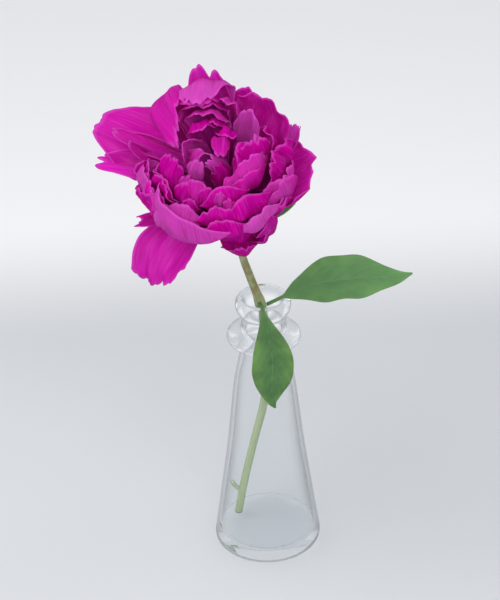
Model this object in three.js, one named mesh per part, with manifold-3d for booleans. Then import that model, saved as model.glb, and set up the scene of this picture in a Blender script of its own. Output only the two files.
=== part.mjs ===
// A peony in a bud vase: one cut stem with an open double bloom, its calyx and three leaves,
// standing in a clear glass bud vase. Millimetres, +Z up. The origin is the middle of the
// vase's foot, on the surface that it stands on. +X is right and -Y is the front.
import * as THREE from 'three';
import { mergeVertices } from 'three/addons/utils/BufferGeometryUtils.js';
import Module from 'manifold-3d';

const wasm = await Module();
wasm.setup();

// Vase: [radius, height] up the outside and down the inside
const VASE_TURNS = 36;
const VASE_OUTSIDE = [
  [0, 0], [30, 0], [32.3, 1.5], [32.7, 4], [31.9, 9], [27.4, 41], [23.3, 71], [18.9, 110],
  [17, 122], [14.8, 133], [13.8, 139], [14.5, 142], [19.5, 143.5], [21.7, 146], [21.3, 149],
  [18, 151], [13.6, 152.5], [13, 157], [13.2, 161], [15.2, 163.5], [16.3, 167], [16, 170.5],
  [14, 173],
];
const VASE_INSIDE = [
  [12, 172], [10.8, 168], [10.6, 160], [11, 150], [11.6, 139], [13, 130], [16.4, 112],
  [20.8, 71], [25, 41], [29, 12], [27.5, 8.5], [24, 7], [0, 7],
];

// Stem: its route from the cut end on the vase's floor to the bloom, and how thick it is
const STEM_RADIUS = { low: 2.5, high: 1.95, narrowsFrom: 165, to: 245 };
const STEM_SIDES = 10;
const STEM_STEPS = 44;
const STEM_NODE = { height: 174, swell: 0.8, spread: 5 };
const STEM_ROUTE = [
  [-18.4, 12, 7.95], [-13.2, 9.4, 38], [-6.6, 5.6, 70], [-0.4, 1.2, 100], [2.2, -3.4, 135],
  [-0.6, -7.6, 168], [-7.2, -10.8, 193], [-11.2, -14.2, 209], [-15.6, -19.6, 237],
  [-18.8, -25.1, 253],
];
const STUB_ROUTE = [[-15.6, 10.8, 25], [-19.5, 10.2, 28.5], [-22.4, 9.6, 33]];
const STUB_RADIUS = 1.4;
const STUB_SIDES = 8;
const STUB_STEPS = 4;

// Bloom: where its petals meet, and the direction that it faces
const SEAT = new THREE.Vector3(-20.4, -29.8, 261.3);
const FACING = new THREE.Vector3(-0.16, -0.50, 0.85).normalize();
const PETAL_THICKNESS = 0.8;
const CORE_TURNS = 12;
const CORE_PROFILE = [
  [0, -3.6], [4.4, -3.6], [10, -4.5], [17, -4.4], [26, -2], [34, 4], [37.5, 12], [36, 19],
  [28, 23], [18, 18], [9, 8], [0, 5],
];

// Calyx: [radius, height] along the bloom's axis, measured from the seat
const CALYX_TURNS = 12;
const CALYX_PROFILE = [[0, -8.9], [2.8, -8.9], [4, -7], [5.4, -5.4], [4.6, -4], [0, -4]];
const SEPAL_COUNT = 5;
const SEPAL_START = 10;
const SEPAL_GRID = [2, 4];
const SEPAL = {
  r0: 3.4, h0: -5.6, r: 18.4, h: -16.9, tip: 142, W: 6, cup: 30, round: 0.75, claw: 0.7,
  notch: 0.04, ruffle: 0.3, wob: 0.3, pleat: 0,
};

// Leaves: the midrib's route, the blade's half width, and which way its face looks
const LEAF_THICKNESS = 0.9;
const LEAF_GRID = [6, 16];
const PETIOLE_RADIUS = 1.1;
const LEAVES = {
  leaf_right: {
    halfWidth: 15, face: [0, -0.42, 0.91], petiole: 0.13, belly: 0.9, fold: 0.18, wave: 1.4,
    waves: 3.2,
    route: [
      [2.2, -7.8, 172], [7.2, -8.4, 174.9], [15.5, -9, 179.6], [22, -9, 182.6],
      [32.7, -9, 185.8], [47, -9, 188], [64, -9, 188.4], [77, -9, 188.8], [85.5, -9, 190.9],
    ],
  },
  leaf_front: {
    halfWidth: 11.5, face: [0.1, -0.93, 0.35], petiole: 0.1, belly: 1.1, fold: 0.2, wave: 1.1,
    waves: 3,
    route: [
      [-2, -12, 175.4], [-0.8, -16, 175.6], [0.4, -20.2, 170.8], [2.2, -23, 161.5],
      [3.8, -24.6, 152], [4.4, -25.6, 143], [3.8, -26, 129], [3.9, -25.8, 117],
      [5.6, -25.2, 112],
    ],
  },
  leaf_back: {
    halfWidth: 10, face: [0.1, -0.35, 0.93], petiole: 0.12, belly: 0.9, fold: 0.2, wave: 0.6,
    waves: 3,
    route: [
      [-13.1, -20.2, 237.4], [-5, -25.5, 241.5], [3, -32, 245.6], [11, -36.8, 249.6],
      [18.3, -39.5, 254.5],
    ],
  },
};

// Colours, and how each surface shines
const FINISHES = {
  glass: { color: 0xe6eef0, roughness: 0.03, metalness: 0, transparent: true, opacity: 0.35 },
  stem: { color: 0x7f9467, roughness: 0.55, metalness: 0 },
  leaf: { color: 0x4f8250, roughness: 0.5, metalness: 0 },
  petal: { color: 0xb61a86, roughness: 0.6, metalness: 0 },
};

// A petal starts from these values. az is its direction round the bloom's axis, in degrees.
// r and h are the radius and height of its rim's middle, tip is its slope there, away from the
// axis in degrees, and hold is the share of its length that keeps that slope. W is half its
// width. slant draws one end of the rim back, and the rest shape its edge, cup and folds.
const PLAIN_PETAL = {
  r0: 3, h0: 0, hold: 0.62, cup: 50, shift: 0, twist: 0, slant: 0, round: 0.3, claw: 0.3,
  taper: 0.12, notch: 0.1, teeth: 3, ruffle: 1.8, waves: 6, wob: 1.6, seed: 0, fold: 0,
  pleat: 1.4, folds: 2.5,
};

// The big outer petals, each as it hangs
const GUARD_PETALS = [
  // Left: the broad one held out level, the torn lobe below it, and the folds that lie on it
  { az: 149, r: 79, h: 16, tip: 82, W: 24, cup: 30, notch: 0.03, teeth: 2, ruffle: 1.8,
    waves: 4, wob: 3, seed: 1, round: 0.42, fold: 2, claw: 0.35, pleat: 3.5, folds: 1.3 },
  { az: 167, r: 71, h: 15, tip: 84, W: 11, cup: 40, notch: 0.08, teeth: 1.6, ruffle: 1.2,
    waves: 3, wob: 2, seed: 4.6, fold: 2, claw: 0.45, pleat: 1.6, folds: 2, round: 0.4 },
  { az: 155, r: 62, h: 26, tip: 68, W: 9, cup: 95, notch: 0.03, ruffle: 1, seed: 2.6,
    round: 0.4, pleat: 1.2, folds: 1.5, waves: 3 },
  { az: 163, r: 47, h: 33, tip: 14, W: 8, cup: 60, notch: 0.03, ruffle: 0.9, seed: 5.1,
    round: 0.5, waves: 3 },
  // Back left: folded over the heart
  { az: 121, r: -3, h: 45, tip: -88, W: 12.2, hold: 2.16, cup: 32, shift: 11, slant: 0.21,
    twist: 31, round: 0.1, ruffle: 0.8, seed: 2.2, pleat: 0.8, folds: 1.6, notch: 0.03,
    wob: 1.6, waves: 4 },
  // Top: the upright torn one, and the lobe folded over in front of it
  { az: 92, r: 46, h: 52, tip: 8, W: 13.5, cup: 30, notch: 0.08, slant: 0.06, ruffle: 1.2,
    seed: 3.1, wob: 1.5, pleat: 1, round: 0.3, teeth: 1.8, waves: 4 },
  { az: 92, r: 22, h: 46, tip: -80, W: 17, hold: 1.15, cup: 36, shift: 4, notch: 0.04,
    ruffle: 1, seed: 3.7, pleat: 0.8, round: 0.25, waves: 4 },
  // Back right
  { az: 43, r: 41, h: 39, tip: -5, W: 19.3, hold: 0.57, cup: 28, shift: -2, slant: 0.02,
    twist: 7, round: 0.11, ruffle: 0.8, seed: 4.2, pleat: 0.8, folds: 2, notch: 0.02,
    waves: 4 },
  // Right: a narrow one, the broad one below it and an upright one inside it
  { az: 20, r: 51, h: 32, tip: 22, W: 7.8, hold: 0.75, cup: 46, shift: 1, slant: -0.17,
    twist: 14, round: 0.09, ruffle: 0.8, seed: 5.7, pleat: 1, notch: 0.04, waves: 3 },
  { az: -10, r: 54, h: 21, tip: 26, W: 21.3, hold: 0.63, cup: 44, shift: 2, slant: -0.06,
    twist: 3, round: 0.13, seed: 6.1, pleat: 1.2, folds: 2, notch: 0.03, ruffle: 1.2,
    waves: 4 },
  { az: -6, r: 34, h: 35, tip: -33, W: 15.6, hold: 0.74, cup: 41, twist: -30, seed: 6.9,
    ruffle: 1, notch: 0.04, waves: 3 },
  // Front right: standing up round the heart, with a curled one outside it
  { az: -44, r: 37, h: 33, tip: -27, W: 19.7, hold: 0.8, cup: 67, shift: 9, slant: 0.04,
    twist: -28, round: 0.34, ruffle: 1, seed: 7.3, pleat: 0.8, folds: 2, notch: 0.02,
    waves: 4 },
  { az: -43, r: 44, h: 25, tip: 3, W: 14.2, hold: 0.69, cup: 43, slant: -0.02, twist: -26,
    round: 0.22, ruffle: 1.2, seed: 7.7, notch: 0.03, waves: 4 },
  // Low in front
  { az: -83, r: 35, h: 25, tip: -35, W: 9.8, hold: 0.96, cup: 59, shift: 8, slant: -0.04,
    twist: -3, round: 0.29, ruffle: 0.8, seed: 8.4, pleat: 0.8, folds: 2, notch: 0.03,
    waves: 4 },
  { az: -63, r: 39, h: 26, tip: -23, W: 9.9, hold: 0.96, cup: 60, shift: 8, slant: -0.06,
    twist: -15, round: 0.26, ruffle: 1, seed: 2.6, pleat: 1, folds: 2, notch: 0.03, waves: 4 },
  { az: -47, r: 44, h: 19, tip: -17, W: 11.3, hold: 0.5, cup: 43, shift: -6, twist: 19,
    round: 0.23, ruffle: 1, seed: 8.9, pleat: 1, folds: 2, notch: 0.03, waves: 4 },
  { az: -76, r: 47, h: 11, tip: 2, W: 12.7, hold: 0.68, cup: 55, shift: -2, slant: 0.04,
    twist: -13, round: 0.24, ruffle: 1.2, seed: 9.4, pleat: 1, folds: 2, notch: 0.04,
    waves: 4 },
  { az: -53, r: 46, h: 13, tip: -1, W: 11.2, hold: 0.66, cup: 54, shift: -4, slant: -0.06,
    twist: 12, ruffle: 1, waves: 4, seed: 2.3, notch: 0.03, pleat: 1, folds: 2 },
  // Front left: the broad smooth band, a second one that carries it on
  // to the left, and the one that hangs below it
  { az: -127, r: 39, h: 43, tip: -31, W: 41, hold: 0.84, cup: 86, twist: -24, notch: 0,
    seed: 10.4, round: 0.14, pleat: 0.3, folds: 2, ruffle: 0.6, wob: 1, slant: -0.06 },
  { az: -167, r: 36, h: 34, tip: -45, W: 17.2, hold: 0.71, cup: 49, shift: 5, twist: 7,
    round: 0.09, seed: 5.8, ruffle: 0.6, waves: 3, notch: 0.02, pleat: 0.4, wob: 1 },
  { az: -137, r: 65, h: -33, tip: 160, W: 18.5, hold: 0.5, cup: 31, shift: 5, slant: -0.3,
    ruffle: 1.4, notch: 0.04, seed: 11.4, round: 0.16, claw: 0.5, pleat: 2.4, folds: 2,
    waves: 4 },
  // Left, low
  { az: -155, r: 53, h: 6, tip: 60, W: 8, ruffle: 1.2, seed: 12.4, pleat: 1.5, round: 0.5,
    waves: 3 },
  { az: -166, r: 44, h: 21, tip: 10, W: 15, ruffle: 1.2, seed: 12.9, pleat: 1.2, notch: 0.04,
    waves: 4 },
  { az: 178, r: 42, h: 27, tip: 2, W: 12, seed: 13.5, ruffle: 1.2, round: 0.4, notch: 0.04,
    waves: 4 },
  // Back, low
  { az: 112, r: 45, h: 28, tip: 8, W: 20, cup: 55, seed: 14.1, notch: 0.04, waves: 4 },
  { az: 68, r: 46, h: 28, tip: 10, W: 20, cup: 55, seed: 14.9, notch: 0.04, waves: 4 },
];
const WIDE_PETAL = { from: 30, grid: [8, 5] };
const BROAD_PETAL = { from: 15, grid: [5, 5] };
const NARROW_PETAL = { from: 0, grid: [3, 4] };

// The petals of the heart that show most, each as it lies
const HEART_SHAPES = [
  // Front left: a cushion of short crowded ones
  { az: -160, r: 29, h: 36, tip: -39, W: 12.8, hold: 0.46, cup: 14, shift: 8, round: 0.15,
    seed: 3.8, ruffle: 1, waves: 4, notch: 0.03, pleat: 1, wob: 1.2 },
  { az: -150, r: 16, h: 40, tip: -59, W: 8.9, hold: 0.77, cup: 47, shift: -7, slant: 0.07,
    twist: 34, round: 0.11, seed: 3, ruffle: 1.1, waves: 5, notch: 0.04, pleat: 1.2, wob: 1.2 },
  { az: -132, r: 16, h: 38, tip: -61, W: 5.2, hold: 0.72, cup: 56, shift: 1, slant: 0.1,
    round: 0.14, seed: 3.2, ruffle: 0.9, waves: 3, notch: 0.05, pleat: 0.8, wob: 1.2 },
  { az: -125, r: 19, h: 38, tip: -57, W: 8.6, hold: 0.82, cup: 53, slant: 0.13, twist: 7,
    round: 0.1, seed: 3.3, ruffle: 1, waves: 4, notch: 0.02, pleat: 1, wob: 1.2 },
  { az: -103, r: 22, h: 37, tip: -59, W: 6.5, hold: 0.55, cup: 62, shift: 4, slant: 0.04,
    round: 0.18, seed: 3.4, ruffle: 1.1, waves: 5, notch: 0.03, pleat: 1.2, wob: 1.2 },
  { az: -87, r: 26, h: 37, tip: -59, W: 4.1, hold: 0.42, cup: 64, shift: 4, slant: -0.05,
    round: 0.18, seed: 3.5, ruffle: 0.9, waves: 3, notch: 0.04, pleat: 0.8, wob: 1.2 },
  { az: -78, r: 29, h: 36, tip: -59, W: 5.1, hold: 0.5, cup: 73, shift: 3, slant: -0.11,
    twist: -10, round: 0.26, seed: 3.6, ruffle: 1, waves: 4, notch: 0.05, pleat: 1, wob: 1.2 },
  { az: -114, r: 29, h: 35, tip: -55, W: 5.2, hold: 0.47, cup: 63, shift: 1, slant: 0.03,
    twist: 6, round: 0.19, seed: 3.7, ruffle: 1.1, waves: 5, notch: 0.02, pleat: 1.2,
    wob: 1.2 },
  { az: -138, r: 7, h: 40, tip: -59, W: 6.6, hold: 0.6, cup: 64, shift: 1, slant: 0.11,
    twist: 8, round: 0.18, seed: 4, ruffle: 0.9, waves: 3, notch: 0.03, pleat: 0.8, wob: 1.2 },
  // Front right: the long ones that sweep across
  { az: -48, r: 21, h: 42, tip: -55, W: 16.4, hold: 0.54, cup: 75, shift: 6, slant: -0.01,
    twist: -29, round: 0.26, seed: 4.4, ruffle: 1, waves: 4, notch: 0.04, pleat: 1, wob: 1.2 },
  { az: -35, r: 16, h: 44, tip: -36, W: 14.4, hold: 0.79, shift: 13, slant: -0.09, twist: -40,
    round: 0.13, seed: 3.9, ruffle: 1.1, waves: 5, notch: 0.05, pleat: 1.2, wob: 1.2 },
  { az: -47, r: 26, h: 39, tip: -46, W: 15.5, hold: 0.43, cup: 57, shift: 1, slant: -0.04,
    twist: -10, round: 0.25, seed: 1.5, ruffle: 1, waves: 4, notch: 0.03, pleat: 0.9,
    wob: 1.2 },
  // Right of the hollow: one that leans back, pale face up
  { az: 43, r: 29, h: 43, tip: 8, W: 8.5, hold: 0.75, cup: 48, shift: -2, slant: -0.03,
    twist: 13, round: 0.16, seed: 4, ruffle: 0.9, waves: 3, notch: 0.02, pleat: 0.8, wob: 1.2 },
  // Back: curved strips, one under the other
  { az: 101, r: 20, h: 45, tip: -81, W: 18.4, hold: 0.93, cup: 55, shift: -1, slant: -0.07,
    twist: -10, round: 0.26, seed: 2.2, ruffle: 1, waves: 4, notch: 0.03, pleat: 1, wob: 1.2 },
  { az: 98, r: 20, h: 44, tip: -72, W: 16.3, hold: 0.71, cup: 54, slant: -0.07, twist: -8,
    round: 0.25, seed: 2.3, ruffle: 1.1, waves: 5, notch: 0.04, pleat: 1.2, wob: 1.2 },
  { az: 90, r: 16, h: 43, tip: -70, W: 13.4, cup: 54, shift: 4, slant: -0.05, twist: -8,
    round: 0.25, seed: 2.4, ruffle: 0.9, waves: 3, notch: 0.05, pleat: 0.8, wob: 1.2 },
  { az: 106, r: 8, h: 42, tip: -74, W: 10.7, hold: 0.7, cup: 62, shift: 2, slant: -0.07,
    twist: 5, round: 0.28, seed: 2.5, ruffle: 1, waves: 4, notch: 0.02, pleat: 1, wob: 1.2 },
  { az: 69, r: 24, h: 45, tip: -54, W: 9.4, hold: 0.58, cup: 58, shift: -1, slant: -0.06,
    twist: -15, round: 0.23, seed: 2.6, ruffle: 1.1, waves: 5, notch: 0.03, pleat: 1.2,
    wob: 1.2 },
  // Round the hollow and in it
  { az: 146, r: 13, h: 41, tip: -21, W: 9.9, hold: 0.52, shift: 4, slant: 0.06, twist: 1,
    round: 0.2, seed: 1.3, ruffle: 0.9, waves: 3, notch: 0.04, pleat: 0.8, wob: 1.2 },
  { az: -17, r: 2, h: 40, tip: -27, W: 7.1, hold: 0.6, cup: 73, shift: -7, slant: 0.02,
    twist: 1, round: 0.02, seed: 1.1, ruffle: 1, waves: 4, notch: 0.05, pleat: 1, wob: 1.2 },
  { az: 71, r: 6, h: 40, tip: -72, W: 9.4, cup: 73, shift: -7, slant: -0.05, twist: 7,
    round: 0.28, seed: 3.6, ruffle: 1.1, waves: 5, notch: 0.02, pleat: 1.2, wob: 1.2 },
  { az: 75, r: -7, h: 40, tip: -93, W: 6.8, hold: 0.82, cup: 69, shift: -8, slant: -0.02,
    twist: -4, round: 0.15, seed: 4.8, ruffle: 0.9, waves: 3, notch: 0.03, pleat: 0.8,
    wob: 1.2 },
];

// The petals that fill the heart between them: az, r, h, tip and W of each
const HEART_PETALS = [
  // Front left
  [-150, 38, 33, -50, 17], [-126, 38, 33, -54, 16], [-104, 38, 32, -52, 17],
  [-140, 33, 35, -60, 14], [-117, 33, 35, -60, 16], [-160, 32, 36, -52, 14],
  [-152, 26, 38, -62, 14], [-172, 33, 34, -42, 14],
  // Front right
  [-82, 38, 32, -52, 17], [-58, 40, 31, -54, 19], [-86, 32, 35, -60, 16],
  [-62, 33, 36, -58, 19], [-30, 38, 34, -46, 18], [-76, 23, 39, -66, 16],
  [-12, 32, 38, -48, 15], [-112, 18, 39, -66, 14],
  // Right of the hollow
  [20, 31, 37, -24, 12], [0, 22, 39, -50, 13], [-18, 12, 39, -58, 12],
  // Back, and the hollow itself
  [92, 12, 39, -72, 13], [-165, 3, 38, -70, 8], [-60, 6, 35, -34, 7],
];
const HEART_GRID = [4, 3];
const SMALL_HEART_PETAL = { below: 13, grid: [3, 3] };

// Joined solids lose the slivers and edges that are smaller than CLEAN_TO, and points closer
// together than WELD are one point
const CLEAN_TO = 0.1;
const WELD = 1e-4;

const { sin, cos, PI, abs, min, max, atan2 } = Math;
const radians = THREE.MathUtils.degToRad;
const lerp = THREE.MathUtils.lerp;

// The midline of a petal in its own upright plane, where x is the radius and y the height
function petalMidline(petal) {
  const base = new THREE.Vector2(petal.r0, petal.h0);
  const rim = new THREE.Vector2(petal.r, petal.h);
  const tip = radians(petal.tip);
  const held = petal.hold * base.distanceTo(rim);
  const turn = rim.clone().addScaledVector(new THREE.Vector2(sin(tip), cos(tip)), -held);
  return new THREE.QuadraticBezierCurve(base, turn, rim);
}

// A petal's surface: u runs across from -1 to 1 and v runs from 0 at the base to 1 at the rim
function petalSurface(row) {
  const p = { ...PLAIN_PETAL, ...row };
  const line = petalMidline(p);
  const length = line.getLength();
  const turn = new THREE.Matrix4().makeRotationZ(radians(p.az));
  return (u, v) => {
    let reach = 1 - p.round * abs(u) ** 2.6;
    reach -= abs(p.slant) * (0.5 - 0.5 * Math.sign(p.slant) * u);
    reach -= p.notch * (1 - abs(cos((p.teeth * PI * u) / 2 + p.seed * 1.7))) ** 1.6;
    reach -= (p.notch / 2) * (1 - abs(cos(p.teeth * 1.2 * PI * u + p.seed * 2.9))) ** 1.6;
    const t = v * reach;
    const opening = sin((PI / 2) * min(1, t / 0.6)) ** 0.9;
    const narrowing = 1 - p.taper * max(0, (t - 0.6) / 0.4) ** 2;
    const half = p.W * lerp(p.claw, 1, opening) * narrowing;
    const bow = radians(p.cup) * min(1, 0.25 + t / 0.4);
    let side = (half / bow) * sin(bow * u);
    let inward = (half / bow) * (1 - cos(bow * u));
    const round = atan2(u * p.W, (t - 0.45) * length);
    const rim = min(1, u ** 4 + v ** 5);
    inward += p.ruffle * rim * sin(p.waves * round + p.seed);
    side += p.ruffle * 0.4 * rim * cos(p.waves * 1.3 * round + p.seed * 1.3);
    inward += p.wob * t * sin(2.6 * u + 3.1 * t + p.seed);
    inward += p.wob * t * 0.6 * sin(4.7 * u - 5.3 * t + 2.1 * p.seed);
    const crease = sin(p.folds * PI * u + p.seed * 1.3 + 1.2 * sin(3 * t + p.seed));
    inward += p.pleat * t * (1 - 0.3 * t) * crease;
    inward += p.fold * abs(u) * t;
    const twist = radians(p.twist) * t;
    const across = side * cos(twist) - inward * sin(twist) + p.shift * t * t;
    const depth = side * sin(twist) + inward * cos(twist);
    const at = line.getPoint(t);
    const along = line.getTangent(t);
    return new THREE.Vector3(at.x - depth * along.y, across, at.y + depth * along.x)
      .applyMatrix4(turn);
  };
}

// A leaf's surface: a narrow stalk that opens into a blade folded a little along its midrib
function leafSurface(leaf) {
  const route = new THREE.CatmullRomCurve3(leaf.route.map((p) => new THREE.Vector3(...p)));
  const face = new THREE.Vector3(...leaf.face).normalize();
  return (u, v) => {
    const at = route.getPointAt(v);
    const side = new THREE.Vector3().crossVectors(face, route.getTangentAt(v)).normalize();
    const up = new THREE.Vector3().crossVectors(route.getTangentAt(v), side).normalize();
    const s = max(0, (v - leaf.petiole) / (1 - leaf.petiole));
    const blade = max(0, sin(PI * s ** leaf.belly)) ** 1.15;
    const half = PETIOLE_RADIUS * (1 - 0.6 * s) + leaf.halfWidth * blade;
    const lift = leaf.fold * abs(u) * half * blade;
    const wave = leaf.wave * blade * u * u * sin(leaf.waves * 2 * PI * s + 1.4 * u);
    return at.addScaledVector(side, u * half).addScaledVector(up, lift + wave);
  };
}

// A closed blade: a surface given thickness, with both faces split into the same triangles
function blade(surface, across, along, thickness) {
  const face = new THREE.PlaneGeometry(2, 1, across, along);
  const place = face.getAttribute('position');
  for (let i = 0; i < place.count; i += 1) {
    const point = surface(place.getX(i), place.getY(i) + 0.5);
    place.setXYZ(i, point.x, point.y, point.z);
  }
  face.computeVertexNormals();
  const normal = face.getAttribute('normal');
  const n = place.count;
  const points = new Float32Array(n * 6);
  for (let i = 0; i < n; i += 1) {
    for (const [copy, lift] of [[0, thickness / 2], [1, -thickness / 2]]) {
      for (const [k, axis] of ['X', 'Y', 'Z'].entries()) {
        const value = place[`get${axis}`](i) + lift * normal[`get${axis}`](i);
        points[(i + copy * n) * 3 + k] = value;
      }
    }
  }
  const index = [];
  const front = [...face.index.array];
  for (let i = 0; i < front.length; i += 3) {
    const [a, b, c] = front.slice(i, i + 3);
    index.push(a, b, c, c + n, b + n, a + n);
  }
  for (const [a, b] of outline(across, along)) {
    index.push(a, a + n, b, b, a + n, b + n);
  }
  const solid = new THREE.BufferGeometry();
  solid.setAttribute('position', new THREE.BufferAttribute(points, 3));
  solid.setIndex(index);
  return solid;
}

// The edges round a grid of a plane, each as a pair of its vertices, in order
function outline(across, along) {
  const row = across + 1;
  const ring = [];
  for (let i = 0; i < along; i += 1) ring.push(i * row);
  for (let i = 0; i < across; i += 1) ring.push(along * row + i);
  for (let i = along; i > 0; i -= 1) ring.push(i * row + across);
  for (let i = across; i > 0; i -= 1) ring.push(i);
  return ring.map((a, i) => [a, ring[(i + 1) % ring.length]]);
}

// A round stem along a route, with its thickness at each height along it
function rod(route, sides, steps, radiusAt) {
  const curve = new THREE.CatmullRomCurve3(route.map((p) => new THREE.Vector3(...p)));
  const shape = new THREE.CylinderGeometry(1, 1, 1, sides, steps);
  const place = shape.getAttribute('position');
  const frames = curve.computeFrenetFrames(steps);
  for (let i = 0; i < place.count; i += 1) {
    const t = place.getY(i) + 0.5;
    const step = Math.round(t * steps);
    const at = curve.getPointAt(t);
    const radius = radiusAt(at.z);
    at.addScaledVector(frames.binormals[step], place.getX(i) * radius);
    at.addScaledVector(frames.normals[step], place.getZ(i) * radius);
    place.setXYZ(i, at.x, at.y, at.z);
  }
  return shape;
}

function lathe(profile, turns) {
  const points = profile.map(([radius, height]) => new THREE.Vector2(radius, height));
  return new THREE.LatheGeometry(points, turns).rotateX(PI / 2);
}

function toManifold(geometry) {
  const bare = geometry.clone();
  for (const name of ['normal', 'uv']) bare.deleteAttribute(name);
  const merged = mergeVertices(bare, WELD);
  const mesh = new wasm.Mesh({
    numProp: 3,
    vertProperties: new Float32Array(merged.getAttribute('position').array),
    triVerts: new Uint32Array(merged.index.array),
  });
  return new wasm.Manifold(mesh);
}

// Several solids that grow together, as one body with no sealed hollow and no loose scrap
function grow(geometries) {
  const joined = geometries.map(toManifold).reduce((body, more) => body.add(more));
  const bodies = joined.asOriginal().simplify(CLEAN_TO).decompose();
  const [largest] = bodies.sort((a, b) => b.volume() - a.volume());
  const { vertProperties, triVerts } = largest.getMesh();
  const geometry = new THREE.BufferGeometry();
  geometry.setAttribute('position', new THREE.BufferAttribute(vertProperties, 3));
  geometry.setIndex(new THREE.BufferAttribute(triVerts, 1));
  return geometry;
}

function piece(name, geometry, finish) {
  const mesh = new THREE.Mesh(geometry, new THREE.MeshStandardMaterial(FINISHES[finish]));
  mesh.name = name;
  return mesh;
}

function makeVase() {
  return piece('vase', lathe([...VASE_OUTSIDE, ...VASE_INSIDE], VASE_TURNS), 'glass');
}

// The stem narrows towards the bloom, swells at the node where the leaves leave it, and keeps
// a stub of a trimmed leaf
function makeStem() {
  const thickness = (z) => {
    const { low, high, narrowsFrom, to } = STEM_RADIUS;
    const away = (z - STEM_NODE.height) / STEM_NODE.spread;
    const plain = lerp(low, high, THREE.MathUtils.smoothstep(z, narrowsFrom, to));
    return plain + STEM_NODE.swell * Math.exp(-away * away);
  };
  const stalk = rod(STEM_ROUTE, STEM_SIDES, STEM_STEPS, thickness);
  const stub = rod(STUB_ROUTE, STUB_SIDES, STUB_STEPS, () => STUB_RADIUS);
  return piece('stem', grow([stalk, stub]), 'stem');
}

function makeLeaf(name) {
  const surface = leafSurface(LEAVES[name]);
  return piece(name, blade(surface, ...LEAF_GRID, LEAF_THICKNESS), 'leaf');
}

function makeCalyx() {
  const sepals = [];
  for (let i = 0; i < SEPAL_COUNT; i += 1) {
    const az = SEPAL_START + (360 / SEPAL_COUNT) * i;
    const surface = petalSurface({ ...SEPAL, az, seed: i });
    sepals.push(blade(surface, ...SEPAL_GRID, LEAF_THICKNESS));
  }
  return piece('calyx', grow([lathe(CALYX_PROFILE, CALYX_TURNS), ...sepals]), 'leaf');
}

// No two petals of the heart are alike: each one's edge, folds and lean drift by a rule
function heartPetal([az, r, h, tip, W], n) {
  return {
    az, r, h, tip, W,
    seed: (n * 1.9) % 6.28,
    twist: 12 * sin(1.9 * n + 0.7),
    shift: 2 * sin(5.3 * n + 0.4),
    slant: 0.12 * sin(2.2 * n + 0.5),
    notch: 0.04 + 0.03 * sin(2.7 * n + 1),
    teeth: 2.6 + 0.8 * sin(3.3 * n),
    ruffle: 0.9 + 0.4 * sin(4.1 * n + 2),
    waves: 4 + sin(1.7 * n),
    pleat: 1.1 + 0.6 * sin(1.3 * n),
  };
}

function makeBloom() {
  const petal = (row, grid) => blade(petalSurface(row), ...grid, PETAL_THICKNESS);
  const guard = (row) => {
    const size = [WIDE_PETAL, BROAD_PETAL, NARROW_PETAL].find(({ from }) => row.W >= from);
    return petal(row, size.grid);
  };
  const inner = (row) => {
    const small = row.W < SMALL_HEART_PETAL.below;
    return petal(row, small ? SMALL_HEART_PETAL.grid : HEART_GRID);
  };
  const petals = [
    ...GUARD_PETALS.map(guard),
    ...HEART_SHAPES.map(inner),
    ...HEART_PETALS.map((row, n) => inner(heartPetal(row, n))),
  ];
  return piece('bloom', grow([lathe(CORE_PROFILE, CORE_TURNS), ...petals]), 'petal');
}

// The calyx and the bloom share a frame: its origin is the seat and its Z the bloom's axis
function makeHead() {
  const head = new THREE.Group();
  const right = new THREE.Vector3(1, 0, 0).addScaledVector(FACING, -FACING.x).normalize();
  const back = new THREE.Vector3().crossVectors(FACING, right);
  head.quaternion.setFromRotationMatrix(new THREE.Matrix4().makeBasis(right, back, FACING));
  head.position.copy(SEAT);
  head.add(makeCalyx(), makeBloom());
  return head;
}

const peony = new THREE.Group();
peony.add(makeVase(), makeStem(), ...Object.keys(LEAVES).map(makeLeaf), makeHead());

export default peony;
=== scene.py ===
"""A cut double peony with leaves, standing in a clear glass bud vase.

The flower's head is a bowl of large outer petals round a heart of smaller crumpled ones. Its
lengths are written in millimetres and turned to metres where a mesh is placed. The settings, the
camera, the lamps and the floor are in metres.
"""

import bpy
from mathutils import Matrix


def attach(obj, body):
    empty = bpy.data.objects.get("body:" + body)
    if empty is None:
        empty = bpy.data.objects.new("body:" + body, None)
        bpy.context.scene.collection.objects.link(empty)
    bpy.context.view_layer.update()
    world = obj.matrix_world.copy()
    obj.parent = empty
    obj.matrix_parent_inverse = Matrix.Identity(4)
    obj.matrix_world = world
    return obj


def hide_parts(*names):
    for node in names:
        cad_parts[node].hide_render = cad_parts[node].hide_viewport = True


bl_info = {
    "name": "Peony in a bud vase",
    "version": (1, 0, 0),
    "blender": (4, 5, 0),
    "location": "3D View > Sidebar > Peony",
    "description": "Adds a double peony with its stem and leaves in a clear glass bud vase",
    "category": "Add Mesh",
}

from dataclasses import dataclass, replace
from math import atan2, copysign, cos, exp, hypot, pi, radians, sin

import bmesh
import bpy
from bpy.props import FloatProperty, FloatVectorProperty, IntProperty, PointerProperty
from bpy.types import Operator, Panel, PropertyGroup
from mathutils import Quaternion, Vector, noise

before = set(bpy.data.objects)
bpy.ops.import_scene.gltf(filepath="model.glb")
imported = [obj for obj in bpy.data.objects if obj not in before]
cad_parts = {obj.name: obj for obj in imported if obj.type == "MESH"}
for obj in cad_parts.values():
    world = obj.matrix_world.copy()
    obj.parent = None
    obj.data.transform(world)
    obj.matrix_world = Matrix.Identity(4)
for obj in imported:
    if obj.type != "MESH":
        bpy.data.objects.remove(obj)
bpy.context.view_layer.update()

MM = 0.001
BODY = "root"

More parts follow.
